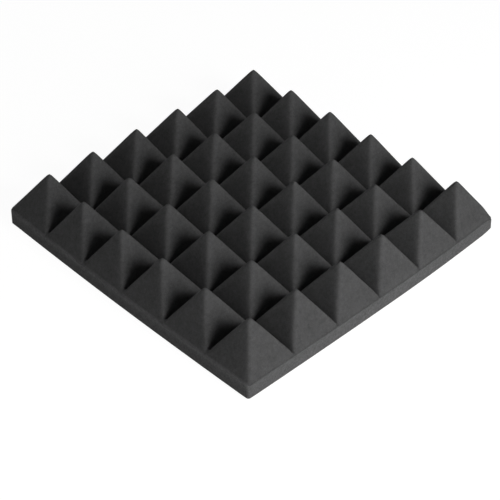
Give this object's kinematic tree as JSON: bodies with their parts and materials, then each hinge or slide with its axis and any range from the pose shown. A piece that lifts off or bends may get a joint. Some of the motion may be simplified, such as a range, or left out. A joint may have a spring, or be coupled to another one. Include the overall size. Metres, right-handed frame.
{
  "type": "acoustic foam panel",
  "caption": "Square acoustic foam tile with a field of square pyramids on a flat slab, and a peel-and-stick back under a split release liner.",
  "frame": {"origin": "centre of the back, on the surface that the release liner rests on", "axes": "+Z out of the back towards the pyramids' tips; X and Y along the tile's sides, with the liner's slit along Y"},
  "size_m": [0.3, 0.3, 0.053],
  "materials": {
    "foam": "matte",
    "adhesive": "gloss",
    "liner": "satin"
  },
  "bodies": {
    "root": {"foam_tile": "foam", "adhesive_film": "adhesive", "release_liner_left": "liner", "release_liner_right": "liner"}
  },
  "joints": []
}
